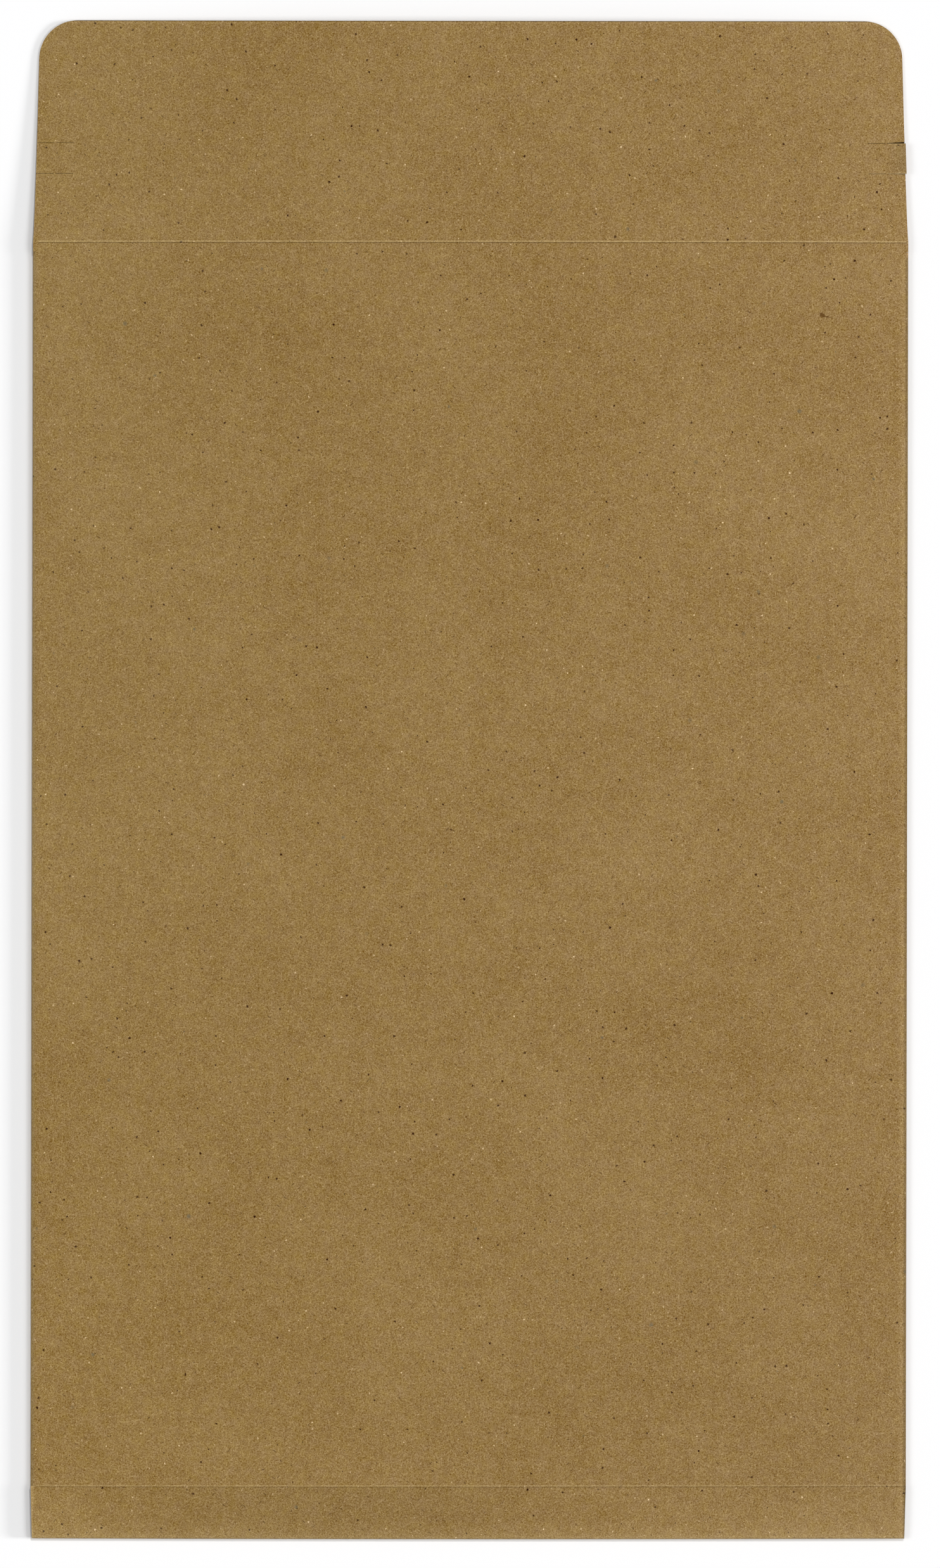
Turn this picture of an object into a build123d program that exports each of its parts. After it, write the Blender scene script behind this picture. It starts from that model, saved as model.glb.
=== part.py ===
"""Kraft board mailing envelope, empty and open, lying on its back with the closing flap laid out flat.

One die-cut sheet is folded and glued. The front panel runs down from the closing flap to a creased base
strip, whose end folds under as a bottom flap. The back panel folds round from the left side and is glued
over the bottom flap and over a narrow tab that folds in from the right side. The folds spring a little,
so the empty pocket stands slightly open at its mouth.

Millimetres. X runs across the envelope, +Y towards the closing flap, +Z up from the face it rests on.
"""

import os
from math import acos, asin, atan2, cos, degrees, hypot, radians, sin

from build123d import *

os.makedirs("parts", exist_ok=True)

# The sheet
card = 0.5  # thickness of the solid board
fold_room = 0.5  # clear height left between the front panel and the layers glued to the back

# The body
body_width = 234.0  # across the two side folds
panel_length = 332.6  # front panel, between its two creases
base_strip = 14.1  # front face between the bottom crease and the bottom fold
base_taper = 0.5  # how much each side of the base strip draws in
pocket_rise = 5.5  # crown of the front panel at the mouth, above its side folds
throat_drop = 3.0  # mouth edge of the back panel, below the flap crease

# The hidden layers
tab_width = 20.0  # glue tab along the right side
tab_mitre = 6.0  # slope of the tab's upper end
bottom_flap = 30.0  # from the bottom fold up to its free edge
back_setback = 2.0  # free edge of the back panel, in from the right fold
tail_setback = 1.0  # foot of the back panel, in from the bottom fold
layer_clearance = 1.0  # between the tab and the bottom flap

# The closing flap
flap_length = 59.0  # from its crease to its tip
flap_taper = 1.9  # how much each side of the flap draws in towards the tip
flap_corner = 10.0  # radius of the two tip corners

# The creases, pressed into the outer face and raised on the inner one
crease_width = 0.8
crease_depth = 0.15
crease_margin = 1.0  # uncreased length at each end

# The tear tabs, one at each side of the flap
tear_height = 18.2  # lower slit, above the flap crease
tear_width = 8.2  # from the lower slit to the upper one
slit_length = 10.0  # in from the side edge of the flap
slit_kerf = 0.2
slit_nick = 0.4  # uncut bridge in the middle of each slit
lift_height = 0.8  # bent-up end of the right tab, above the flap

# Heights of the layers, and the folds that join them
half_width = body_width / 2
glue_top = 2 * card  # upper face of the tab and of the bottom flap
front_under = glue_top + fold_room
front_top = front_under + card
left_fold = front_top / 2  # outer radius, round the back panel
inner_fold = (front_top - card) / 2  # outer radius of the right and bottom folds
left_x = -half_width + left_fold  # axes of the side folds
right_x = half_width - inner_fold
back_edge = half_width - back_setback

# Lines across the envelope, with the middle of its length at Y = 0
total_length = base_strip + panel_length + flap_length
bottom_y = -total_length / 2
base_crease_y = bottom_y + base_strip
flap_crease_y = base_crease_y + panel_length
throat_y = flap_crease_y - throat_drop
belly_y = (base_crease_y + throat_y) / 2
tip_y = total_length / 2

# The crown eases off like a parabola towards the flat bottom
belly_rise = 0.75 * pocket_rise

# The flap falls until its corners touch the rest plane
flap_fall = front_under / (flap_length - flap_corner)


def across(y, z=0.0):
    """Plane that cuts the envelope at length y, with X to the right and Z up."""
    return Plane(origin=(0, y, z), x_dir=(1, 0, 0), z_dir=(0, -1, 0))


def crown(rise):
    """Centre and outer radius of the arc that crowns the front panel and runs smoothly into both side folds."""
    span = right_x - left_x
    x = (right_x**2 - left_x**2 - 2 * rise * (left_fold - inner_fold)) / (2 * span)
    radius = left_fold + ((x - left_x) ** 2 + rise**2) / (2 * rise)
    return (x, front_top + rise - radius), radius


def front_and_folds(rise, inset):
    """Outer face of the front panel with its two side folds, or the inner face at an inset of one card."""
    left_axis = (left_x, left_fold)
    right_axis = (right_x, card + inner_fold)
    left_angle = 90.0
    right_angle = 90.0
    if rise > 0:
        centre, radius = crown(rise)
        left_angle = degrees(atan2(left_axis[1] - centre[1], left_axis[0] - centre[0]))
        right_angle = degrees(atan2(right_axis[1] - centre[1], right_axis[0] - centre[0]))
    left = CenterArc(left_axis, left_fold - inset, 270, left_angle - 270)
    right = CenterArc(right_axis, inner_fold - inset, right_angle, -90 - right_angle)
    if rise > 0:
        CenterArc(centre, radius - inset, left_angle, right_angle - left_angle)
    else:
        Line(left @ 1, right @ 0)
    return left @ 0, right @ 1


sections = [(base_crease_y, 0.0), (belly_y, belly_rise), (throat_y, pocket_rise)]

# Outside of the folded tube, from the bottom crease up to the mouth
with BuildPart() as tube_outside:
    for y, rise in sections:
        with BuildSketch(across(y)):
            with BuildLine():
                start, end = front_and_folds(rise, 0)
                Polyline(end, (back_edge, card), (back_edge, 0), start)
            make_face()
    loft()

# Pocket between the front panel and the back panel
with BuildPart() as tube_inside:
    for y, rise in sections:
        with BuildSketch(across(y)):
            with BuildLine():
                start, end = front_and_folds(rise, card)
                Polyline(end, (right_x, card), start)
            make_face()
    loft()

# Glue tab, turned in from the right fold and mitred clear of the bottom flap
tab_inner_x = right_x - tab_width
bottom_flap_y = bottom_y + bottom_flap
with BuildPart() as glue_tab:
    with BuildSketch(Plane.XY.offset(card)):
        with BuildLine():
            Polyline(
                (right_x, base_crease_y),
                (right_x, throat_y),
                (tab_inner_x, throat_y - tab_mitre),
                (tab_inner_x, bottom_flap_y + layer_clearance),
                close=True,
            )
        make_face()
    extrude(amount=card)

# Base strip, from the bottom crease round the bottom fold
bottom_fold_y = bottom_y + inner_fold
fold_axis = (bottom_fold_y, card + inner_fold)
with BuildPart() as base:
    with BuildSketch(Plane.YZ):
        with BuildLine():
            outer = CenterArc(fold_axis, inner_fold, 90, 180)
            inner = CenterArc(fold_axis, inner_fold - card, 90, 180)
            Line(outer @ 1, inner @ 1)
            Polyline(outer @ 0, (base_crease_y, front_top), (base_crease_y, front_under), inner @ 0)
        make_face()
    extrude(amount=half_width, both=True)
    with BuildSketch(Plane.XY):
        with BuildLine():
            Polyline(
                (-half_width, base_crease_y),
                (-half_width + base_taper, bottom_y),
                (half_width - base_taper, bottom_y),
                (half_width, base_crease_y),
                close=True,
            )
        make_face()
    extrude(amount=front_top, mode=Mode.INTERSECT)

# Bottom flap, turned up inside and glued to the back panel
flap_foot_x = half_width - base_taper - layer_clearance
flap_head_x = tab_inner_x - layer_clearance
with BuildPart() as inner_flap:
    with BuildSketch(Plane.XY.offset(card)):
        with BuildLine():
            Polyline(
                (-flap_foot_x, bottom_fold_y),
                (-flap_head_x, bottom_flap_y),
                (flap_head_x, bottom_flap_y),
                (flap_foot_x, bottom_fold_y),
                close=True,
            )
        make_face()
    extrude(amount=card)

# Foot of the back panel, below the ends of the side folds
tail_y = bottom_y + tail_setback
with BuildPart() as back_foot:
    with BuildSketch(Plane.XY):
        with BuildLine():
            Polyline(
                (left_x, base_crease_y),
                (left_x, tail_y),
                (back_edge, tail_y),
                (back_edge, base_crease_y),
                close=True,
            )
        make_face()
    extrude(amount=card)

# Closing flap: the front panel's crown carried on past the mouth, falling from the crease to the tip
crown_centre, crown_radius = crown(pocket_rise)
sheet_reach = degrees(atan2(half_width + flap_corner, crown_radius))
sheet_height = front_top + pocket_rise


def crowned_sheet():
    """Section of the front sheet on the mouth's crown, a little wider than the flap."""
    outer = CenterArc(crown_centre, crown_radius, 90 + sheet_reach, -2 * sheet_reach)
    inner = CenterArc(crown_centre, crown_radius - card, 90 + sheet_reach, -2 * sheet_reach)
    Line(outer @ 0, inner @ 0)
    Line(outer @ 1, inner @ 1)


def flap_edge(height):
    """Half width of the flap at a height above its crease."""
    return half_width - flap_taper * height / flap_length


# Each slit is two cuts in line, with a nick left whole between them
cut_length = (slit_length - slit_nick) / 2
overshoot = slit_length  # the outer cut runs on past the side edge
slit_cuts = []
for height in (tear_height, tear_height + tear_width):
    edge = flap_edge(height)
    outer_cut = (edge - cut_length, edge + overshoot)
    inner_cut = (edge - slit_length, edge - slit_length + cut_length)
    for near, far in (outer_cut, inner_cut):
        for side in (-1, 1):
            slit_cuts.append((side * (near + far) / 2, flap_crease_y + height, far - near))

# Loose end of the right tear tab, outside the nicks
loose_x = flap_edge(tear_height + tear_width / 2) - cut_length
loose_width = tear_width - slit_kerf
loose_y = flap_crease_y + tear_height + slit_kerf / 2

with BuildPart() as closing_flap:
    with BuildSketch(across(flap_crease_y)):
        with BuildLine():
            crowned_sheet()
        make_face()
    extrude(amount=throat_drop)
    with BuildSketch(across(flap_crease_y)):
        with BuildLine():
            crowned_sheet()
        make_face()
    extrude(amount=flap_length * hypot(1, flap_fall), dir=(0, 1, -flap_fall))
    with BuildSketch(Plane.XY) as outline:
        with BuildLine():
            Polyline(
                (-half_width, throat_y),
                (-half_width, flap_crease_y),
                (-flap_edge(flap_length), tip_y),
                (flap_edge(flap_length), tip_y),
                (half_width, flap_crease_y),
                (half_width, throat_y),
                close=True,
            )
        make_face()
        fillet(outline.vertices().group_by(Axis.Y)[-1], radius=flap_corner)
    extrude(amount=sheet_height, mode=Mode.INTERSECT)
    with BuildSketch(Plane.XY):
        for x, y, length in slit_cuts:
            with Locations((x, y)):
                Rectangle(length, slit_kerf)
        with Locations((loose_x, loose_y)):
            Rectangle(cut_length + overshoot, loose_width, align=Align.MIN)
    extrude(amount=sheet_height, mode=Mode.SUBTRACT)

# The loose end itself, bent up in an arc that starts along the flap's own slope
bend_radius = (cut_length**2 + lift_height**2) / (2 * lift_height)
bend_turn = 2 * degrees(atan2(lift_height, cut_length))
slope_angle = degrees(acos((loose_x - crown_centre[0]) / crown_radius))
bend_reach = crown_radius + bend_radius
bend_centre = (
    crown_centre[0] + bend_reach * cos(radians(slope_angle)),
    crown_centre[1] + bend_reach * sin(radians(slope_angle)),
)
with BuildPart() as lifted_tab:
    with BuildSketch(across(loose_y, -flap_fall * (loose_y - flap_crease_y))):
        with BuildLine():
            upper = CenterArc(bend_centre, bend_radius, slope_angle - 180, bend_turn)
            lower = CenterArc(bend_centre, bend_radius + card, slope_angle - 180, bend_turn)
            Line(upper @ 0, lower @ 0)
            Line(upper @ 1, lower @ 1)
        make_face()
    extrude(amount=loose_width * hypot(1, flap_fall), dir=(0, 1, -flap_fall))


def crease_bar(path):
    """Bar with a rounded underside, as wide and as deep as a crease, along a line on a face of the sheet."""
    half_crease = crease_width / 2
    with BuildPart() as bar:
        with BuildSketch(Plane(origin=path @ 0, x_dir=(0, 1, 0), z_dir=path % 0)):
            with BuildLine():
                ThreePointArc((-half_crease, 0), (0, -crease_depth), (half_crease, 0))
                Polyline(
                    (half_crease, 0),
                    (half_crease, crease_depth),
                    (-half_crease, crease_depth),
                    (-half_crease, 0),
                )
            make_face()
        sweep(path=path)
    return bar.part


# Lines of the two creases on the outer face of the sheet and, one card lower, on its inner face
crease_x = half_width - crease_margin
crease_reach = degrees(asin(crease_x / crown_radius))
grooves = []
beads = []
for depth, bars in ((0, grooves), (card, beads)):
    with BuildLine(across(flap_crease_y)) as flap_crease:
        CenterArc(crown_centre, crown_radius - depth, 90 + crease_reach, -2 * crease_reach)
    with BuildLine(across(base_crease_y)) as base_crease:
        Line((-crease_x, front_top - depth), (crease_x, front_top - depth))
    bars.append(crease_bar(flap_crease.line))
    bars.append(crease_bar(base_crease.line))

# The folded and glued sheet
with BuildPart() as envelope:
    add(tube_outside.part)
    add(tube_inside.part, mode=Mode.SUBTRACT)
    for panel in (glue_tab, base, inner_flap, back_foot, closing_flap, lifted_tab):
        add(panel.part)
    add(beads)
    add(grooves, mode=Mode.SUBTRACT)

envelope.part.label = "envelope"
export_step(envelope.part, "parts/envelope.step")
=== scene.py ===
from math import pi, radians

import bpy
import numpy as np
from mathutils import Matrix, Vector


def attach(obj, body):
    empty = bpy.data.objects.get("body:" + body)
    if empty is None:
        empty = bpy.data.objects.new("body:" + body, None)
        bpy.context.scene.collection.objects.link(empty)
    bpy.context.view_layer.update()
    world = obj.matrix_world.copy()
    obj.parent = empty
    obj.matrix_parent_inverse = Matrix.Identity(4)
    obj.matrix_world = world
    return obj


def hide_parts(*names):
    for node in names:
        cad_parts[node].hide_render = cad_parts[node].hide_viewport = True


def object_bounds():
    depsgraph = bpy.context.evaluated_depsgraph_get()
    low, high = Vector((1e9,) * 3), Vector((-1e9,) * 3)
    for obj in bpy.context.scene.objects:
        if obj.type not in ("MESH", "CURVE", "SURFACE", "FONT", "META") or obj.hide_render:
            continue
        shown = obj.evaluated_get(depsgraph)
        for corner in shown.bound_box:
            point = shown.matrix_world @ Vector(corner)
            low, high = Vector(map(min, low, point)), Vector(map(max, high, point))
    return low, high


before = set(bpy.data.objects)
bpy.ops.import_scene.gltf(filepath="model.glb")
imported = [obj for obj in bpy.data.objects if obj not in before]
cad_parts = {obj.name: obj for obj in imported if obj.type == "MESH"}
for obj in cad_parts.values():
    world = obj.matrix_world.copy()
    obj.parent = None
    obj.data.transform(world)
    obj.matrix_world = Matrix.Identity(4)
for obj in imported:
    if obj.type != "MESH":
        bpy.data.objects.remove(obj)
cad_low, cad_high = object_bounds()

# The folded sheet. One die-cut blank of solid brown kraft board, pressed with a crease across the flap and
# one across the base, folded round both sides and the bottom, and glued to itself behind the front panel.
mm = 0.001
card = 0.5 * mm  # thickness of the board
fold_room = 0.5 * mm  # clear height between the front panel and the layers glued to the back
glue_line = 0.01 * mm  # between two glued layers
half_width = cad_high.x
bottom_y = cad_low.y
tip_y = cad_high.y

base_strip = 14.1 * mm  # front face between the base crease and the bottom fold
base_taper = 0.36 * mm  # how much each side of the strip draws in
droop, droop_length = 0.14 * mm, 2.2 * mm  # sag of the strip beside the bottom fold
pocket_rise = 5.5 * mm  # crown of the front panel at the mouth, above its side folds
least_rise = 0.002 * mm  # crown of the flat stretches, which are worked out as arcs too
throat_drop = 3.0 * mm  # mouth edge of the back panel, below the flap crease
tab_width = 20.0 * mm  # glue tab along the right side
tab_mitre = 6.0 * mm  # slope of the tab's upper end
bottom_flap = 30.0 * mm  # from the bottom fold up to its free edge
back_setback = 2.0 * mm  # free edge of the back panel, in from the right fold
tail_setback = 1.0 * mm  # foot of the back panel, in from the bottom fold
layer_clearance = 1.0 * mm  # between the tab and the bottom flap

flap_length = 59.0 * mm  # from its crease to its tip
flap_taper = 1.85 * mm  # how much each side of the flap draws in towards the tip
flap_draw = 0.75  # power of the way up by which it draws in
flap_corner = 10.0 * mm  # radius of the two tip corners
mouth_notch, base_notch = 0.04 * mm, 0.02 * mm  # gaps between the side folds and the flap or the strip

crease_width = 0.8 * mm
crease_depth = 0.10 * mm
crease_shift = 0.2 * mm  # middle of the pressed line, below the line on which the sheet folds
left_margin, right_margin = 1.2 * mm, 0.5 * mm  # length over which a crease fades in at each side
uncreased = 0.3  # share of that length left flat at the very edge

tear_height = 18.085 * mm  # lower slit of each tear tab, above the flap crease
tear_width = 8.2 * mm  # from the lower slit to the upper one
slit_length = 10.0 * mm  # in from the side edge of the flap
slit_kerf = 0.09 * mm
slit_nick = 0.4 * mm  # uncut bridge in the middle of each slit
cut_length = (slit_length - slit_nick) / 2
lift_height = 0.8 * mm  # bent-up end of the right tab, above the flap
tab_overhang = 0.3 * mm  # how far the bent end stands out past the flap's side
slit_gape, gape_reach = 0.34 * mm, 4 * mm  # opening of the upper right slit, and how far up it fades out

# The sheet was not cut, pressed and folded quite square, so its lines lean and bow by tenths of a millimetre.
# The values are for the bottom, the base crease, both ends of the panel's even stretch, the flap crease and
# the tip: slopes of the lines across, shifts along of their ends and of their middles, and shifts across.
uneven_length = 60 * mm
line_slopes = [0.00125, 0.0019, 0.00173, 0.00107, 0.0009, 0.0003]
end_shifts = np.array([0.08, 0.09, 0, 0, 0, -0.05]) * mm
middle_shifts = np.array([-0.11, -0.07, 0, 0, -0.06, -0.27]) * mm
cross_shifts = np.array([-0.09, -0.045, -0.02, 0.05, 0.06, 0.02]) * mm
width_share = 0.9995  # the folded sheet is this much narrower than its nominal width

# Heights of the layers, axes of the folds and lines across the envelope
front_top = 3 * card + fold_room
left_fold = front_top / 2
inner_fold = (front_top - card) / 2
left_x = -half_width + left_fold
right_x = half_width - inner_fold
base_crease_y = bottom_y + base_strip
flap_crease_y = tip_y - flap_length
throat_y = flap_crease_y - throat_drop
bottom_fold_y = bottom_y + inner_fold
bottom_flap_y = bottom_y + bottom_flap
tail_y = bottom_y + tail_setback
tab_inner_x = right_x - tab_width
flap_fall = (front_top - card) / (flap_length - flap_corner)
hair = 1e-9  # less than any real step, for comparing places


def crown(rise):
    """Arc that crowns the front panel and touches both side folds: the x of its centre, its outer radius and
    the angles at which it meets the folds. radius = left_fold + (reach^2 + rise^2) / (2 rise)."""
    span = right_x - left_x
    x = (right_x**2 - left_x**2 - 2 * rise * (left_fold - inner_fold)) / (2 * span)
    radius = left_fold + ((x - left_x) ** 2 + rise**2) / (2 * rise)
    centre_z = front_top + rise - radius
    left_angle = np.arctan2(left_fold - centre_z, left_x - x)
    right_angle = np.arctan2(card + inner_fold - centre_z, right_x - x)
    return x, radius, left_angle, right_angle


def crown_height(x, rise, inset):
    """Place of the point x of the crowned sheet, moved in by an inset along the arc's radius. The arc lies
    below its top by r out^2 / (1 + sqrt(1 - out^2)), where out = (x - centre) / r."""
    centre, radius, _, _ = crown(rise)
    out = (x - centre) / radius
    drop = radius * out**2 / (1 + np.sqrt(1 - out**2))
    moved_x = x - inset * out
    moved_z = front_top + rise - drop - inset * np.sqrt(1 - out**2)
    return moved_x, moved_z


def bell(t):
    """Smooth bump, 1 at t = 0 and 0 beyond t = -1 and t = 1: half of 1 + cos(pi t)."""
    return 0.5 + 0.5 * np.cos(pi * np.clip(t, -1, 1))


# Lines along the length, from the free edge of the bottom flap round the bottom fold and up to the flap's tip
BOTTOM_FLAP, BOTTOM_FOLD, STRIP, PANEL, FLAP = range(5)
crease_steps = np.linspace(-0.8, 0.8, 17) * crease_width  # close lines over and beside a crease
crease_middle = len(crease_steps) // 2
slit_y = flap_crease_y + tear_height + np.array([-0.5, 0.5]) * slit_kerf
slit_y = np.concatenate([slit_y, slit_y + tear_width])
corner_turn = np.linspace(0, pi / 2, 19)[1:]
line_groups = [
    (BOTTOM_FLAP, np.linspace(bottom_flap_y, bottom_fold_y, 12)),
    (BOTTOM_FOLD, np.linspace(1.5 * pi, 0.5 * pi, 16)[1:-1]),
    (STRIP, [bottom_fold_y, tail_y]),
    (STRIP, np.linspace(tail_y, bottom_fold_y + droop_length, 10)[1:]),
    (STRIP, np.linspace(bottom_fold_y + droop_length, base_crease_y - crease_width, 10)[1:]),
    (STRIP, base_crease_y + crease_steps[:crease_middle]),
    (STRIP, [base_crease_y - base_notch]),
    (PANEL, base_crease_y + crease_steps[crease_middle:]),
    (PANEL, np.linspace(base_crease_y + crease_width, throat_y, 130)),
    (FLAP, np.linspace(throat_y + mouth_notch, flap_crease_y - crease_width, 4)),
    (FLAP, flap_crease_y + crease_steps),
    (FLAP, np.linspace(flap_crease_y + crease_width, slit_y[0] - slit_kerf, 12)),
    (FLAP, slit_y[:2]),
    (FLAP, np.linspace(slit_y[1] + slit_kerf, slit_y[2] - slit_kerf, 7)),
    (FLAP, slit_y[2:]),
    (FLAP, np.linspace(slit_y[3] + slit_kerf, tip_y - flap_corner, 12)),
    (FLAP, tip_y - flap_corner + flap_corner * np.sin(corner_turn)),
]
row_kind = np.concatenate([np.full(len(values), kind) for kind, values in line_groups])[:, None]
row_value = np.concatenate([np.asarray(values) for kind, values in line_groups])[:, None]
row_count = len(row_kind)

# Lines across, from the free edge of the back panel round the left fold, over the front, round the right fold
BACK, LEFT_FOLD, FRONT, RIGHT_FOLD, TAB = range(5)
fold_steps = np.linspace(0, 1, 15)[1:-1]  # shares of a side fold's turn
flat_steps = 4  # lines of each side fold that the flap and the strip use for their edges
_, _, mouth_left, mouth_right = crown(pocket_rise)
front_left = left_x + left_fold * np.cos(mouth_left)
front_right = right_x + inner_fold * np.cos(mouth_right)
side_zone = 14 * mm  # with lines of its own, on which the cuts of the slits end
edge_lines = np.concatenate(
    [
        np.array([1.5, 2.1, 2.8, 3.5, 4.2]) * mm,
        [cut_length, cut_length + slit_nick],
        np.array([6.2, 7.2, 8.2, 9.2]) * mm,
        [slit_length],
        np.array([10.6, 12.0]) * mm,
    ]
)
front_x = np.concatenate(
    [
        [front_left],
        edge_lines - half_width,
        np.linspace(side_zone - half_width, half_width - side_zone, 90),
        half_width - edge_lines[::-1],
        [front_right],
    ]
)
column_groups = [
    (BACK, np.linspace(half_width - back_setback, left_x, 40)),
    (LEFT_FOLD, fold_steps),
    (FRONT, front_x),
    (RIGHT_FOLD, fold_steps),
    (TAB, np.linspace(right_x, tab_inner_x, 10)),
]
column_kind = np.concatenate([np.full(len(values), kind) for kind, values in column_groups])[None, :]
column_value = np.concatenate([values for kind, values in column_groups])[None, :]
column_count = column_kind.size

# Where a line across lies while the sheet is flat
first_front = int(np.argmax(column_kind[0] == FRONT))
last_front = first_front + len(front_x) - 1
left_edge = slice(first_front - flat_steps, first_front)
right_edge = slice(last_front + 1, last_front + 1 + flat_steps)
flat_x = np.full(column_count, np.nan)
flat_x[first_front : last_front + 1] = front_x
flat_x[left_edge] = np.linspace(-half_width, front_left, flat_steps + 1)[:-1]
flat_x[right_edge] = np.linspace(front_right, half_width, flat_steps + 1)[1:]
in_flap = np.isfinite(flat_x)
flat_x = np.where(in_flap, flat_x, 0.0)[None, :]


def half_width_at(y):
    """Half width of the flat sheet at y: straight sides that draw in evenly along the base strip and, as a
    power of the way up, along the flap, and round corners at the flap's tip, where half width =
    edge - r + sqrt(r^2 - (y - y0)^2)."""
    way_up = np.clip(y - flap_crease_y, 0, None) / flap_length
    flap_edge = half_width - flap_taper * way_up**flap_draw
    strip_edge = half_width - base_taper * np.clip(base_crease_y - y, 0, None) / base_strip
    turned = np.clip((y - tip_y + flap_corner) / flap_corner, 0, 1)
    round_in = flap_corner * (1 - np.sqrt(1 - turned**2))
    return np.where(y > 0, flap_edge - round_in, strip_edge)


def crease_dip(y, x):
    """Depth of the two pressed creases at a point of the flat sheet: a bell across each line, which fades out
    in a straight slope at the side edges."""
    left_fade = np.clip((half_width + x) / left_margin - uncreased, 0, 1)
    right_fade = np.clip((half_width - x) / right_margin - uncreased, 0, 1)
    base = bell((y - base_crease_y + crease_shift) / (crease_width / 2))
    top = bell((y - flap_crease_y + crease_shift) / (crease_width / 2))
    return crease_depth * left_fade * right_fade * (base + top)


def folded(inset):
    """Points of the folded sheet, rows along by columns across, on its outer face or an inset below it. The
    front is a crown whose rise grows from the base to the mouth as pocket_rise (1 - (1 - way_up)^2); the flap
    carries the mouth's crown on as it falls to the floor; folds are arcs round their axes; the other panels
    lie flat."""
    y = row_value
    way_up = np.clip((y - base_crease_y) / (throat_y - base_crease_y), 0, 1)
    panel_rise = pocket_rise * (1 - (1 - way_up) ** 2)
    rise = np.select([row_kind == FLAP, row_kind == PANEL], [pocket_rise, panel_rise], 0)
    rise = np.maximum(rise, least_rise)
    _, _, left_angle, right_angle = crown(rise)
    left_touch = left_x + left_fold * np.cos(left_angle)
    right_touch = right_x + inner_fold * np.cos(right_angle)
    share = (flat_x - front_left) / (front_right - front_left)
    on_panel = left_touch + share * (right_touch - left_touch)
    on_flat = flat_x * half_width_at(y) / half_width
    x_sheet = np.where(row_kind == PANEL, on_panel, on_flat)
    x_front, z_front = crown_height(x_sheet, rise, inset)
    y_front = y + 0 * x_front
    z_front = z_front - crease_dip(y, flat_x)
    z_front = z_front - flap_fall * np.clip(y - flap_crease_y, 0, None)
    near_bottom = np.clip(1 - (y - bottom_fold_y) / droop_length, 0, 1)
    z_front = z_front - np.where(row_kind == STRIP, droop * near_bottom**2, 0)

    # Loose end of the right tear tab, bent up outside its nicks, and the lips of the slits, which meet inside
    loose = np.clip((x_sheet - half_width_at(y) + cut_length) / cut_length, 0, None)
    in_tab = (row_kind == FLAP) & (y > slit_y[1] - hair) & (y < slit_y[2] + hair)
    z_front = z_front + np.where(in_tab, lift_height * loose**2, 0)
    x_front = x_front + np.where(in_tab, tab_overhang * loose**3, 0)
    above = (row_kind == FLAP) & (y > slit_y[3] - hair)
    fade_up = np.clip(1 - (y - slit_y[3]) / gape_reach, 0, 1)
    y_front = y_front + np.where(above, slit_gape * loose * fade_up**2 * (1 - inset / card), 0)
    lip = np.select([np.isclose(y, line) for line in slit_y], [1, -1, 1, -1], 0)
    y_front = y_front + lip * slit_kerf / 2 * inset / card

    # Bottom fold and the flap that it turns up inside
    turn = np.where(row_kind == BOTTOM_FOLD, y, 1.5 * pi)
    foot = half_width - base_taper - layer_clearance
    head = tab_inner_x - layer_clearance
    flap_share = np.clip((y - bottom_fold_y) / (bottom_flap_y - bottom_fold_y), 0, 1)
    flap_half = foot + flap_share * (head - foot)
    under_half = np.where(row_kind == BOTTOM_FOLD, half_width - base_taper, flap_half)
    under_x = flat_x * under_half / half_width
    fold_droop = droop * (1 + np.sin(turn)) / 2
    fold_y = bottom_fold_y + (inner_fold - inset) * np.cos(turn)
    under_y = np.where(row_kind == BOTTOM_FOLD, fold_y, y)
    under_z = card + inner_fold + (inner_fold - inset) * np.sin(turn) - fold_droop + glue_line
    under = (row_kind == BOTTOM_FLAP) | (row_kind == BOTTOM_FOLD)
    x_front = np.where(under, under_x, x_front)
    y_front = np.where(under, under_y, y_front)
    z_front = np.where(under, under_z, z_front)

    # Side folds, back panel and glue tab
    left_turn = 1.5 * pi + column_value * (left_angle - 1.5 * pi)
    left_fold_x = left_x + (left_fold - inset) * np.cos(left_turn)
    left_fold_z = left_fold + (left_fold - inset) * np.sin(left_turn)
    right_turn = right_angle + column_value * (-0.5 * pi - right_angle)
    right_fold_x = right_x + (inner_fold - inset) * np.cos(right_turn)
    right_fold_z = card + inner_fold + (inner_fold - inset) * np.sin(right_turn) + glue_line
    in_width = np.clip((right_x - column_value) / tab_width, 0, 1)
    tab_low = base_crease_y + in_width * (bottom_flap_y + layer_clearance - base_crease_y)
    tab_high = throat_y - in_width * tab_mitre
    tab_y = tab_low + way_up * (tab_high - tab_low)

    # All the panels together
    level = 0 * (y + column_value)
    front = (column_kind == FRONT) | ((row_kind != PANEL) & in_flap[None, :])
    on_left, on_right, on_tab = column_kind == LEFT_FOLD, column_kind == RIGHT_FOLD, column_kind == TAB
    x = np.select([front, on_left, on_right], [x_front, left_fold_x, right_fold_x], column_value + level)
    tab_z = card + inset + glue_line + level
    heights = [z_front, left_fold_z, right_fold_z, tab_z]
    z = np.select([front, on_left, on_right, on_tab], heights, inset + level)
    y_all = np.select([front, on_tab], [y_front, tab_y], y + level)

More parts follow.
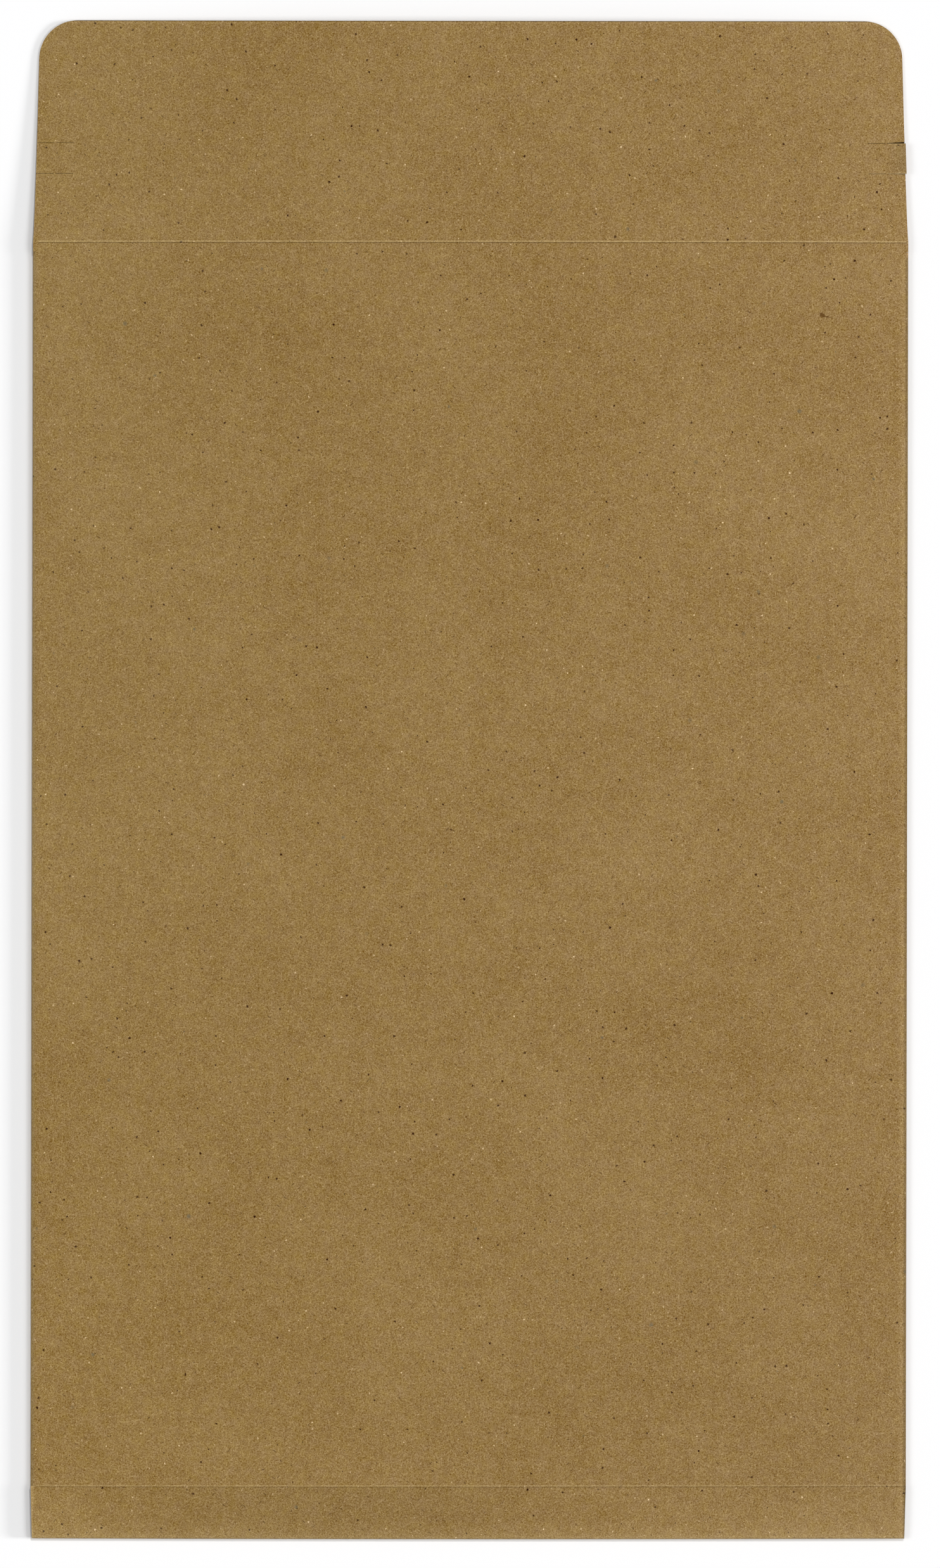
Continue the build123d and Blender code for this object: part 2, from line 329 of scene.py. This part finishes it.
    # The lean and bow of the lines
    lower_end = base_crease_y + uneven_length
    upper_end = flap_crease_y - uneven_length
    places = [bottom_y, base_crease_y, lower_end, upper_end, flap_crease_y, tip_y]
    slope = np.interp(y_all, places, line_slopes)
    end_shift = np.interp(y_all, places, end_shifts)
    middle_shift = np.interp(y_all, places, middle_shifts)
    cross_shift = np.interp(y_all, places, cross_shifts)
    outward = (x / half_width) ** 2
    y_all = y_all + slope * x + end_shift * outward + middle_shift * (1 - outward)
    return np.stack([width_share * x + cross_shift, y_all, z], axis=-1)


outer_face = folded(0.0)
inner_face = folded(card)

# Which cells of the grid are board: the cross-shaped blank, less the slits and the small notches at the folds
cell_column = np.arange(column_count - 1)[None, :]
low_kind, high_kind = row_kind[:-1], row_kind[1:]
panel_row = (low_kind == PANEL) & (high_kind == PANEL)
notch_row = (low_kind != high_kind) & ((low_kind == PANEL) | (high_kind == PANEL))
foot_row = (low_kind == STRIP) & (row_value[:-1] > tail_y - hair)
front_cell = (cell_column >= first_front) & (cell_column < last_front)
flap_cell = in_flap[None, :-1] & in_flap[None, 1:]
back_cell = cell_column < int(np.sum(column_kind == BACK)) - 1
board = panel_row | (front_cell & notch_row) | (flap_cell & ~notch_row) | (back_cell & foot_row)
from_edge = half_width - np.abs(flat_x[:, :-1] + flat_x[:, 1:]) / 2
outer_cut = from_edge < cut_length
inner_cut = (from_edge > cut_length + slit_nick) & (from_edge < slit_length)
middle_y = (row_value[:-1] + row_value[1:]) / 2
in_lower_slit = np.abs(middle_y - slit_y[:2].mean()) < slit_kerf / 2
in_upper_slit = np.abs(middle_y - slit_y[2:].mean()) < slit_kerf / 2
slit_row = (low_kind == FLAP) & (in_lower_slit | in_upper_slit)
board &= ~(slit_row & (outer_cut | inner_cut) & flap_cell)

# Outer and inner faces, with a wall wherever the board ends
index = np.arange(row_count * column_count).reshape(row_count, column_count)
corners = [index[:-1, :-1], index[:-1, 1:], index[1:, 1:], index[1:, :-1]]
outer_quads = np.stack([corner[board] for corner in corners], axis=-1)
inner_quads = outer_quads[:, ::-1] + index.size
edges = np.concatenate([outer_quads[:, [k, (k + 1) % 4]] for k in range(4)])
edge_key = edges[:, 0] * index.size + edges[:, 1]
twin_key = edges[:, 1] * index.size + edges[:, 0]
rim = edges[~np.isin(edge_key, twin_key)]
walls = np.stack([rim[:, 1], rim[:, 0], rim[:, 0] + index.size, rim[:, 1] + index.size], axis=-1)
slit_lines = np.flatnonzero(np.isclose(row_value, slit_y).any(axis=1))
slit_walls = np.isin(rim // column_count, slit_lines).all(axis=1)
quads = np.concatenate([outer_quads, inner_quads, walls])
points = np.concatenate([outer_face.reshape(-1, 3), inner_face.reshape(-1, 3)])


def run_of(line):
    """Length run along a line of points, from its first one: the sum of the steps between neighbours."""
    return np.cumsum(np.linalg.norm(np.diff(line, axis=0, prepend=line[:1]), axis=1))


# Lengths along the flat blank, which the pulp's pattern follows round the folds
inner_aside = [0.8, 0.0]  # the inner face is laid out clear of the outer one
middle_column = (first_front + last_front) // 2
panel_line = int(np.argmax(row_value * (row_kind == PANEL) > 0))
run_across = run_of(outer_face[panel_line])
run_along = run_of(outer_face[:, middle_column])
run_across -= run_across[middle_column] - outer_face[panel_line, middle_column, 0]
run_along -= run_along[panel_line] - row_value[panel_line, 0]
foot_share = (half_width - base_taper) / half_width
flat_share = half_width_at(row_value) / half_width
flat_row = (row_kind == STRIP) | (row_kind == FLAP)
drawn_in = np.select([row_kind == PANEL, flat_row], [1.0, flat_share], foot_share)
blank = np.stack(np.broadcast_arrays(run_across[None, :] * drawn_in, run_along[:, None]), axis=-1)
blank = blank.reshape(-1, 2)
blank = np.concatenate([blank, blank + inner_aside])
blank_loops = blank[quads]
wall_start = len(outer_quads) + len(inner_quads)
rim_run = blank[rim[:, 1]] - blank[rim[:, 0]]
rim_out = np.stack([rim_run[:, 1], -rim_run[:, 0]], axis=-1)
rim_out *= card / np.maximum(np.linalg.norm(rim_run, axis=1, keepdims=True), hair)
blank_loops[wall_start:, 2] = blank[rim[:, 0]] + rim_out
blank_loops[wall_start:, 3] = blank[rim[:, 1]] + rim_out

sharp_angle = radians(50)
used, quads = np.unique(quads, return_inverse=True)
quads = quads.reshape(-1, 4)
sheet_mesh = bpy.data.meshes.new("envelope_sheet")
sheet_mesh.vertices.add(len(used))
sheet_mesh.vertices.foreach_set("co", points[used].ravel())
sheet_mesh.loops.add(quads.size)
sheet_mesh.loops.foreach_set("vertex_index", quads.ravel())
sheet_mesh.polygons.add(len(quads))
sheet_mesh.polygons.foreach_set("loop_start", np.arange(0, quads.size, 4))
material_index = np.zeros(len(quads), dtype=np.int32)
material_index[wall_start:] = 1 + slit_walls
sheet_mesh.polygons.foreach_set("material_index", material_index)
sheet_mesh.polygons.foreach_set("use_smooth", np.ones(len(quads), dtype=bool))
sheet_mesh.update(calc_edges=True)
sheet_mesh.set_sharp_from_angle(angle=sharp_angle)
blank_map = sheet_mesh.uv_layers.new(name="blank")
blank_map.uv.foreach_set("vector", blank_loops.ravel())
sheet = bpy.data.objects.new("envelope_sheet", sheet_mesh)
bpy.context.scene.collection.objects.link(sheet)


# The kraft pulp. Unbleached brown fibre with a fine felted grain, pale and dark fibres lying every way, pale
# chips and dark specks of bark, soft cloudy tone from the paper machine and no coating.
def add_node(tree, kind, inputs=None, **settings):
    """New node with its settings; inputs maps a socket to a value or to another node's output socket."""
    node = tree.nodes.new(kind)
    for name, value in settings.items():
        setattr(node, name, value)
    for name, value in (inputs or {}).items():
        if isinstance(value, bpy.types.NodeSocket):
            tree.links.new(value, node.inputs[name])
        else:
            node.inputs[name].default_value = value
    return node


def new_group(name, inputs, outputs):
    """Empty shader node group with its sockets, and its input and output nodes."""
    tree = bpy.data.node_groups.new(name, "ShaderNodeTree")
    for socket, kind, value in inputs:
        made = tree.interface.new_socket(socket, in_out="INPUT", socket_type=kind)
        if value is not None:
            made.default_value = value
    for socket, kind in outputs:
        tree.interface.new_socket(socket, in_out="OUTPUT", socket_type=kind)
    return tree, tree.nodes.new("NodeGroupInput"), tree.nodes.new("NodeGroupOutput")


def arithmetic(tree, operation, first, second=0.0, third=0.0):
    """Output of one math node."""
    node = add_node(tree, "ShaderNodeMath", {0: first, 1: second, 2: third}, operation=operation)
    return node.outputs[0]


def vectors(tree, operation, *values):
    """Output of one vector math node, for operations that give a vector."""
    node = add_node(tree, "ShaderNodeVectorMath", dict(enumerate(values)), operation=operation)
    return node.outputs["Vector"]


def scaled(tree, vector, factor):
    """A vector or colour times a factor."""
    node = add_node(tree, "ShaderNodeVectorMath", {0: vector, "Scale": factor}, operation="SCALE")
    return node.outputs["Vector"]


def turned_place(tree, place, angle):
    """A place on the blank, turned about the blank's middle."""
    node = add_node(
        tree, "ShaderNodeVectorRotate", {"Vector": place, "Angle": angle}, rotation_type="Z_AXIS"
    )
    return node.outputs["Vector"]


def ramp(tree, value, start, end):
    """Smooth step, 0 at the start and 1 at the end, which may be the lower of the two."""
    node = add_node(
        tree,
        "ShaderNodeMapRange",
        {"Value": value, "From Min": start, "From Max": end, "To Min": 0.0, "To Max": 1.0},
        interpolation_type="SMOOTHSTEP",
    )
    return node.outputs[0]


def soft_noise(tree, place, period, detail=0.0):
    """Random pattern on the blank with the given period: outputs with a value from 0 to 1 and a colour."""
    node = add_node(
        tree,
        "ShaderNodeTexNoise",
        {"Vector": place, "Scale": 1 / period, "Detail": detail},
        noise_dimensions="2D",
    )
    return node.outputs


def random_cells(tree, place, spacing):
    """Cells strewn over the blank at about the given spacing: the point of the cell that a place lies in, and
    outputs with three random numbers of that cell."""
    density = arithmetic(tree, "DIVIDE", 1.0, spacing)
    cells = add_node(
        tree, "ShaderNodeTexVoronoi", {"Vector": place, "Scale": density}, voronoi_dimensions="2D"
    )
    seed = add_node(tree, "ShaderNodeSeparateColor", {0: cells.outputs["Color"]})
    chance = add_node(tree, "ShaderNodeTexWhiteNoise", {"W": seed.outputs[2]}, noise_dimensions="1D")
    numbers = add_node(tree, "ShaderNodeSeparateColor", {0: chance.outputs["Color"]})
    return cells.outputs["Position"], numbers.outputs


def mixed_colour(tree, share, first, second):
    """The first colour with a share of the second. Sockets 6 and 7 of the node are its two colours."""
    node = add_node(tree, "ShaderNodeMix", {0: share, 6: first, 7: second}, data_type="RGBA")
    return node.outputs[2]


# Fibres: one for each cell of a random pattern, drawn as a thin bowed ellipse about the cell's point
shortest_fibre = 0.3  # share of the full length
fibre_core = 0.15  # squared share of the ellipse that shows in full
fibre_start = (0.37, 0.61, 0.0)
fibres, given, result = new_group(
    "pulp_fibres",
    [
        ("Vector", "NodeSocketVector", None),
        ("Angle", "NodeSocketFloat", 0.0),
        ("Spacing", "NodeSocketFloat", 2.0 * mm),
        ("Length", "NodeSocketFloat", 1.5 * mm),
        ("Width", "NodeSocketFloat", 0.15 * mm),
    ],
    [("Mask", "NodeSocketFloat")],
)
turned = turned_place(fibres, given.outputs["Vector"], given.outputs["Angle"])
shifted = vectors(fibres, "ADD", turned, fibre_start)
cell_point, chance = random_cells(fibres, shifted, given.outputs["Spacing"])
offset = vectors(fibres, "SUBTRACT", shifted, cell_point)
parts = add_node(fibres, "ShaderNodeSeparateXYZ", {0: offset})
reach = arithmetic(fibres, "MULTIPLY_ADD", chance[0], 1 - shortest_fibre, shortest_fibre)
reach = arithmetic(fibres, "MULTIPLY", reach, given.outputs["Length"])
along = arithmetic(fibres, "DIVIDE", parts.outputs[0], reach)
bow = arithmetic(fibres, "SUBTRACT", chance[1], 0.5)
bow = arithmetic(fibres, "MULTIPLY", bow, reach)
bend = arithmetic(fibres, "MULTIPLY", along, along)
sagged = arithmetic(fibres, "MULTIPLY_ADD", bend, bow, parts.outputs[1])
across = arithmetic(fibres, "DIVIDE", sagged, given.outputs["Width"])
across = arithmetic(fibres, "MULTIPLY", across, across)
squared = arithmetic(fibres, "ADD", bend, across)
inside = ramp(fibres, squared, 1.0, fibre_core)
faint = arithmetic(fibres, "MULTIPLY", inside, chance[2])
fibres.links.new(faint, result.inputs["Mask"])

# Specks: one ragged spot at most in each cell, its size falling off steeply so that few are large
speck_core, speck_rim = 0.5, 1.1  # shares of the radius where a speck starts to fade and ends
ragged_period = 0.3125 * mm
ragged_swing = 0.55 * mm
specks, given, result = new_group(
    "pulp_specks",
    [
        ("Vector", "NodeSocketVector", None),
        ("Spacing", "NodeSocketFloat", 3.0 * mm),
        ("Radius", "NodeSocketFloat", 0.4 * mm),
        ("Least", "NodeSocketFloat", 0.3),
        ("Rarity", "NodeSocketFloat", 3.0),
        ("Faintest", "NodeSocketFloat", 0.5),
    ],
    [("Mask", "NodeSocketFloat")],
)
ragged = soft_noise(specks, given.outputs["Vector"], ragged_period, detail=1.0)
push = vectors(specks, "SUBTRACT", ragged["Color"], (0.5, 0.5, 0.5))
moved = vectors(specks, "ADD", given.outputs["Vector"], scaled(specks, push, ragged_swing))
cell_point, chance = random_cells(specks, moved, given.outputs["Spacing"])
gap = add_node(specks, "ShaderNodeVectorMath", {0: moved, 1: cell_point}, operation="DISTANCE")
spare = arithmetic(specks, "SUBTRACT", 1.0, given.outputs["Least"])
radius = arithmetic(specks, "POWER", chance[0], given.outputs["Rarity"])
radius = arithmetic(specks, "MULTIPLY_ADD", radius, spare, given.outputs["Least"])
radius = arithmetic(specks, "MULTIPLY", radius, given.outputs["Radius"])
ratio = arithmetic(specks, "DIVIDE", gap.outputs["Value"], radius)
inside = ramp(specks, ratio, speck_rim, speck_core)
spare = arithmetic(specks, "SUBTRACT", 1.0, given.outputs["Faintest"])
strength = arithmetic(specks, "MULTIPLY_ADD", chance[1], spare, given.outputs["Faintest"])
strength = arithmetic(specks, "MULTIPLY", inside, strength)
specks.links.new(strength, result.inputs["Mask"])

# The pulp itself: felted grain and cloudiness added up, then the single fibres and the specks laid over it
kraft_colour = (0.2800, 0.1742, 0.0602)
kraft_swing = (0.274, 0.224, 0.121)  # how far each channel follows the tone
felt_period = 0.225 * mm
felt_stretch = 0.45
felt_swing = 0.425
felt_turns = 5  # the grain lies this many ways
felt_start = (0.2, 0.3)
# Cloudiness: the period in millimetres and the swing of each layer
cloud_swings = ((0.5, 0.20), (0.95, 0.10), (2.3, 0.16), (5.5, 0.10), (14.0, 0.08), (45.0, 0.12))
hue_periods = (1.6 * mm, 3.6 * mm)
hue_swing = 0.24
left_grey, right_grey = 0.94, 1.06  # the board is a little greyer towards the right
pale_fibre = (0.54, 0.38, 0.18)
dark_fibre = (0.153, 0.080, 0.015)
bark = (0.070, 0.030, 0.006)
grey_bit = (0.115, 0.110, 0.075)
pale_speck = (0.90, 0.68, 0.40)
dark_speck = (0.030, 0.005, 0.0)

# Layers of fibres: angle, then spacing, length and width in millimetres, then cover and colour
fibre_layers = [
    (0.35, 1.5, 0.9, 0.10, 0.57, pale_fibre),
    (1.45, 1.7, 1.0, 0.10, 0.57, pale_fibre),
    (2.50, 1.6, 0.9, 0.10, 0.57, pale_fibre),
    (0.90, 1.7, 0.9, 0.10, 0.50, dark_fibre),
    (2.05, 1.8, 0.8, 0.10, 0.50, dark_fibre),
    (0.60, 7.0, 0.8, 0.13, 0.90, bark),
    (2.30, 8.0, 0.9, 0.12, 0.90, bark),
]
# Layers of specks: spacing and radius in millimetres, then rarity of large ones, faintest, cover and colour
speck_layers = [
    (26.0, 0.75, 2.0, 0.1, 0.6, grey_bit),
    (1.5, 0.15, 4.0, 0.2, 0.55, pale_speck),
    (2.3, 0.24, 10.0, 0.2, 1.0, pale_speck),
    (3.1, 0.40, 12.0, 0.85, 1.0, dark_speck),
]
layer_start = (0.173, 0.291)  # how far apart the patterns of two layers start
layers = []
for angle, spacing, length, width, cover, colour in fibre_layers:
    sizes = {"Angle": angle, "Spacing": spacing * mm, "Length": length * mm, "Width": width * mm}
    layers.append((fibres, sizes, cover, colour))
for spacing, largest, rarity, faintest, cover, colour in speck_layers:
    sizes = {"Spacing": spacing * mm, "Radius": largest * mm, "Rarity": rarity, "Faintest": faintest}
    layers.append((specks, sizes, cover, colour))

pulp, given, result = new_group(
    "kraft_pulp",
    [("Vector", "NodeSocketVector", None)],
    [("Color", "NodeSocketColor"), ("Height", "NodeSocketFloat")],
)
place = given.outputs["Vector"]


def grain(vector, period, swing):
    """Soft random swing about zero with the given period, as an output socket of the pulp group."""
    return arithmetic(pulp, "MULTIPLY_ADD", soft_noise(pulp, vector, period)[0], swing, -swing / 2)


felt = 0.0
for turn in range(felt_turns):
    lie = turned_place(pulp, place, turn * pi / felt_turns)
    start = (felt_start[0] * turn, felt_start[1], 0.0)
    drawn_out = vectors(pulp, "MULTIPLY_ADD", lie, (felt_stretch, 1.0, 1.0), start)
    felt = arithmetic(pulp, "ADD", felt, grain(drawn_out, felt_period, felt_swing))
tone = felt
for period, swing in cloud_swings:
    tone = arithmetic(pulp, "ADD", tone, grain(place, period * mm, swing))
toned = vectors(pulp, "MULTIPLY_ADD", kraft_swing, tone, kraft_colour)

hue = arithmetic(pulp, "ADD", *(grain(place, period, hue_swing) for period in hue_periods))
sideways = add_node(pulp, "ShaderNodeSeparateXYZ", {0: place})
greyer = add_node(
    pulp,
    "ShaderNodeMapRange",
    {
        "Value": sideways.outputs[0],
        "From Min": -half_width,
        "From Max": half_width,
        "To Min": left_grey,
        "To Max": right_grey,
    },
)
hue = arithmetic(pulp, "ADD", hue, greyer.outputs[0])
shaded = add_node(pulp, "ShaderNodeCombineXYZ", {"X": 1.0, "Y": 1.0, "Z": hue})
toned = vectors(pulp, "MULTIPLY", toned, shaded.outputs[0])
for step, (group, sizes, cover, colour) in enumerate(layers):
    start = (layer_start[0] * step, layer_start[1] * step, 0.0)
    apart = vectors(pulp, "ADD", place, start)
    laid = add_node(pulp, "ShaderNodeGroup", {"Vector": apart, **sizes}, node_tree=group)
    share = arithmetic(pulp, "MULTIPLY", laid.outputs["Mask"], cover)
    toned = mixed_colour(pulp, share, toned, (*colour, 1.0))
pulp.links.new(toned, result.inputs["Color"])
pulp.links.new(felt, result.inputs["Height"])

# Marks on the board, mostly painted light: a painted highlight along each crease with a painted shade line
# below it, painted highlights along the bottom fold, the folds and the tab, painted light on the upper left,
# painted shade where the right fold and the tip turn away, and one brown drop
marks, given, result = new_group(
    "board_marks",
    [("Vector", "NodeSocketVector", None)],
    [("Pale", "NodeSocketFloat"), ("Dark", "NodeSocketFloat"), ("Drop", "NodeSocketFloat")],
)
blank_place = add_node(marks, "ShaderNodeSeparateXYZ", {0: given.outputs["Vector"]})
place_across, place_along = blank_place.outputs[0], blank_place.outputs[1]


def rising_across(start, end):
    """Mask of the marks group that rises across the blank, 0 at the start and 1 at the end."""
    return ramp(marks, place_across, start, end)


def rising_along(start, end):
    """Mask of the marks group that rises along the blank, 0 at the start and 1 at the end."""
    return ramp(marks, place_along, start, end)


def line_mark(value, centre, reach):
    """Soft line of the marks group: 1 on the centre line and 0 beyond the reach at either side."""
    away = arithmetic(marks, "SUBTRACT", value, centre)
    away = arithmetic(marks, "ABSOLUTE", away)
    return ramp(marks, away, reach, 0.2 * reach)


def both(first, second):
    """Where two masks of the marks group overlap."""
    return arithmetic(marks, "MULTIPLY", first, second)


def run_at(line, kind):
    """Length along the blank at the row, among those of a kind, that lies nearest to a line."""
    away = np.where(row_kind == kind, np.abs(row_value - line), np.inf)
    return run_along[int(np.argmin(away))]


left_run, right_run = run_across[first_front], run_across[last_front]
bottom_run = run_at(bottom_fold_y, STRIP)
throat_run = run_at(flap_crease_y, FLAP) - throat_drop
tip_run = run_along[-1]
below_throat = rising_along(throat_run, throat_run - 2 * mm)
base_band = rising_along(bottom_run + 13 * mm, bottom_run + 5 * mm)
pale_marks = [
    # The base strip: a painted highlight that grows towards the bottom fold, where the board rounds over, and
    # paler towards the two corners
    (rising_along(bottom_run + 4.5 * mm, bottom_run + 0.5 * mm), 0.10),
    (rising_along(bottom_run + 1.2 * mm, bottom_run - 0.4 * mm), 0.10),
    (rising_along(bottom_run + 0.3 * mm, bottom_run - 0.9 * mm), 0.20),
    (both(base_band, rising_across(30 * mm, right_run)), 0.09),
    (both(base_band, rising_across(-70 * mm, left_run)), 0.09),
    # Painted light: lifting the shade on the upper left of the front, where the crown turns away from the low
    # lamp, a painted highlight inside the right fold, painted light on the left fold where it rounds away,
    # and a pale line just short of the tip
    (both(rising_across(-40 * mm, left_run), rising_along(-140 * mm, 40 * mm)), 0.09),
    (both(rising_across(right_run - 2.0 * mm, right_run - 0.4 * mm), below_throat), 0.14),
    (both(rising_across(left_run + 0.1 * mm, left_run - 0.5 * mm), below_throat), 0.28),
    (line_mark(place_along, tip_run - 0.52 * mm, 0.4 * mm), 0.12),
]
dark_marks = [
    # Painted shade: along the cut edge of the tip, and on the right fold where it turns away
    (rising_along(tip_run - 0.28 * mm, tip_run - 0.08 * mm), 0.62),
    (both(rising_across(right_run - 0.4 * mm, right_run + 0.5 * mm), below_throat), 0.50),
]

# The two creases, drawn as a painted highlight with a painted shade line below it: where the highlight lies,
# and how far it and the shade line show
flap_crease_run = run_at(flap_crease_y, FLAP) - 0.06 * mm
base_crease_run = run_at(base_crease_y, PANEL) + 0.10 * mm
pale_reach = 0.28 * mm
dark_step, dark_reach = 0.38 * mm, 0.24 * mm
creased = both(
    rising_across(left_run + 0.2 * mm, left_run + 0.9 * mm), rising_across(right_run + 0.3 * mm, right_run)
)
for crease_run, pale, dark in ((flap_crease_run, 0.56, 0.34), (base_crease_run, 0.35, 0.22)):
    pale_marks.append((both(line_mark(place_along, crease_run, pale_reach), creased), pale))
    dark_marks.append((both(line_mark(place_along, crease_run - dark_step, dark_reach), creased), dark))
on_strip = rising_along(base_crease_run, base_crease_run - 1 * mm)
dark_marks.append((both(on_strip, line_mark(place_across, -40 * mm, 80 * mm)), 0.08))

# The bent tab: a painted highlight along both of its slits, and painted light towards its end, where its bend
# turns it away from the low lamp
lower_slit, upper_slit = run_at(slit_y[1], FLAP), run_at(slit_y[2], FLAP)
lip_step, lip_reach = 0.16 * mm, 0.18 * mm
tab_end = rising_across(right_run - cut_length, right_run - cut_length + 1 * mm)
pale_marks.append((both(line_mark(place_along, lower_slit + lip_step, lip_reach), tab_end), 0.40))
pale_marks.append((both(line_mark(place_along, upper_slit - lip_step, lip_reach), tab_end), 0.25))
on_tab = both(
    rising_along(lower_slit - 0.1 * mm, lower_slit), rising_along(upper_slit + 0.1 * mm, upper_slit)
)
pale_marks.append((both(rising_across(right_run - 5 * mm, right_run), on_tab), 0.15))
for socket, listed in (("Pale", pale_marks), ("Dark", dark_marks)):
    total = 0.0
    for mask, amount in listed:
        total = arithmetic(marks, "MULTIPLY_ADD", mask, amount, total)
    marks.links.new(total, result.inputs[socket])

# One brown drop on the front below the flap's crease, with a tail that runs out to the right
drop_across, drop_along = 94.0 * mm, 124.1 * mm
drop_slope = 0.30
drop_radius, tail_radius = 0.68 * mm, 0.18 * mm
wave_period, wave_swing = 0.5 * mm, 0.6 * mm
drop_colour = (0.105, 0.045, 0.008, 1.0)
drop_cover = 0.85
off_across = arithmetic(marks, "SUBTRACT", place_across, drop_across)
off_along = arithmetic(marks, "SUBTRACT", place_along, drop_along)
off_along = arithmetic(marks, "MULTIPLY_ADD", off_across, drop_slope, off_along)
wave = soft_noise(marks, given.outputs["Vector"], wave_period)[0]
wave = arithmetic(marks, "MULTIPLY_ADD", wave, wave_swing, -wave_swing / 2)
off_along = arithmetic(marks, "ADD", off_along, wave)
slim = ramp(marks, off_across, 0.2 * mm, 1.1 * mm)
drop_reach = arithmetic(marks, "MULTIPLY_ADD", slim, tail_radius - drop_radius, drop_radius)
off_along = arithmetic(marks, "DIVIDE", off_along, drop_reach)
off_along = arithmetic(marks, "ABSOLUTE", off_along)
drop_ends = both(ramp(marks, off_across, -0.8 * mm, -0.5 * mm), ramp(marks, off_across, 3.2 * mm, 1.9 * mm))
drop_mask = both(ramp(marks, off_along, 1.15, 0.6), drop_ends)
marks.links.new(drop_mask, result.inputs["Drop"])


def kraft_material(name, roughness, specular):
    """New material of the sheet, bare kraft with the pulp laid on the map of the flat blank: its node tree,
    its shader, the place on the blank and the pulp's node."""
    paint = bpy.data.materials.new(name)
    paint.use_nodes = True
    sheet_mesh.materials.append(paint)
    tree = paint.node_tree
    shader = tree.nodes["Principled BSDF"]
    shader.inputs["Roughness"].default_value = roughness
    shader.inputs["Specular IOR Level"].default_value = specular
    blank_uv = add_node(tree, "ShaderNodeUVMap", uv_map="blank").outputs[0]
    pulp_node = add_node(tree, "ShaderNodeGroup", {"Vector": blank_uv}, node_tree=pulp)
    return tree, shader, blank_uv, pulp_node


# The faces of the board: the pale marks and painted highlights lift the tone, the painted shade dims it, and
# the drop covers it
bump_strength, bump_depth = 0.15, 0.03 * mm
tree, shader, blank_uv, pulp_node = kraft_material("kraft_board", roughness=0.9, specular=0.04)
marks_node = add_node(tree, "ShaderNodeGroup", {"Vector": blank_uv}, node_tree=marks)
pulp_colour = pulp_node.outputs["Color"]
paled_colour = vectors(tree, "MULTIPLY_ADD", kraft_swing, marks_node.outputs["Pale"], pulp_colour)
kept = arithmetic(tree, "SUBTRACT", 1.0, marks_node.outputs["Dark"])
drop_share = arithmetic(tree, "MULTIPLY", marks_node.outputs["Drop"], drop_cover)
stained = mixed_colour(tree, drop_share, scaled(tree, paled_colour, kept), drop_colour)
tree.links.new(stained, shader.inputs["Base Color"])
bump = add_node(
    tree,
    "ShaderNodeBump",
    {"Strength": bump_strength, "Distance": bump_depth, "Height": pulp_node.outputs["Height"]},
)
tree.links.new(bump.outputs[0], shader.inputs["Normal"])

# The cut edges of the board, a little darker as painted shade, and the walls of the slits, made far darker as
# painted shade for the deep narrow gap
for name, light_share in (("kraft_cut_edge", 0.85), ("kraft_slit", 0.10)):
    tree, shader, _, pulp_node = kraft_material(name, roughness=0.95, specular=0.02)
    tree.links.new(scaled(tree, pulp_node.outputs["Color"], light_share), shader.inputs["Base Color"])

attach(sheet, "root")
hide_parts("envelope")

# The floor. A broad plain white board under the envelope, staged and not part of it, which keeps the
# envelope's soft shadow.
floor_radius = 4.0
floor_gap = 0.05 * mm
floor_white = (0.95, 0.95, 0.953, 1.0)
floor_turn = np.linspace(0, 2 * pi, 97)[:-1]
floor_x, floor_y = floor_radius * np.cos(floor_turn), floor_radius * np.sin(floor_turn)
floor_ring = np.stack([floor_x, floor_y, 0 * floor_turn - floor_gap], axis=-1)
floor_mesh = bpy.data.meshes.new("floor")
floor_mesh.from_pydata(floor_ring.tolist(), [], [list(range(len(floor_ring)))])
floor = bpy.data.objects.new("floor", floor_mesh)
bpy.context.scene.collection.objects.link(floor)
floor_paint = bpy.data.materials.new("floor_white")
floor_paint.use_nodes = True
shader = floor_paint.node_tree.nodes["Principled BSDF"]
shader.inputs["Base Color"].default_value = floor_white
shader.inputs["Roughness"].default_value = 1.0
shader.inputs["Specular IOR Level"].default_value = 0.0
floor_mesh.materials.append(floor_paint)

# Light. A main lamp stands beyond the flap in an even white surround, and broad lamps fill in from both
# sides. A low lamp rakes across the sheet from its right side and draws out the soft shadow on its left.
surround_level = 0.20
scene = bpy.context.scene
world = bpy.data.worlds.new("surround")
world.use_nodes = True
surround = world.node_tree.nodes["Background"]
surround.inputs["Color"].default_value = (1.0, 1.0, 1.0, 1.0)
surround.inputs["Strength"].default_value = surround_level
scene.world = world


def add_lamp(name, level, elevation, bearing, spread):
    """Distant lamp that lights a level white floor to the given share of white, from an elevation above the
    floor and a bearing counted from the base side towards the right, with a disc as wide as the spread."""
    data = bpy.data.lights.new(name, "SUN")
    data.energy = level * pi / np.sin(radians(elevation))
    data.angle = radians(spread)
    lamp = bpy.data.objects.new(name, data)
    lamp.rotation_euler = (radians(90 - elevation), 0.0, radians(bearing))
    scene.collection.objects.link(lamp)


add_lamp("main_lamp", level=0.30, elevation=62, bearing=160, spread=5)
add_lamp("left_lamp", level=0.14, elevation=48, bearing=270, spread=26)
add_lamp("right_lamp", level=0.23, elevation=48, bearing=90, spread=26)
add_lamp("low_lamp", level=0.18, elevation=14.5, bearing=90, spread=10)

# Camera. Straight above, from far off, so that the sheet shows with next to no perspective.
camera_place = (0.12 * mm, -1.18 * mm, 5.8205)
camera_turn = radians(0.093)
camera_data = bpy.data.cameras.new("camera")
camera_data.lens = 500
camera_data.sensor_width = 36
camera_data.clip_end = 50
camera = bpy.data.objects.new("camera", camera_data)
camera.location = camera_place
camera.rotation_euler = (0.0, 0.0, camera_turn)
scene.collection.objects.link(camera)
scene.camera = camera
scene.view_settings.view_transform = "Standard"
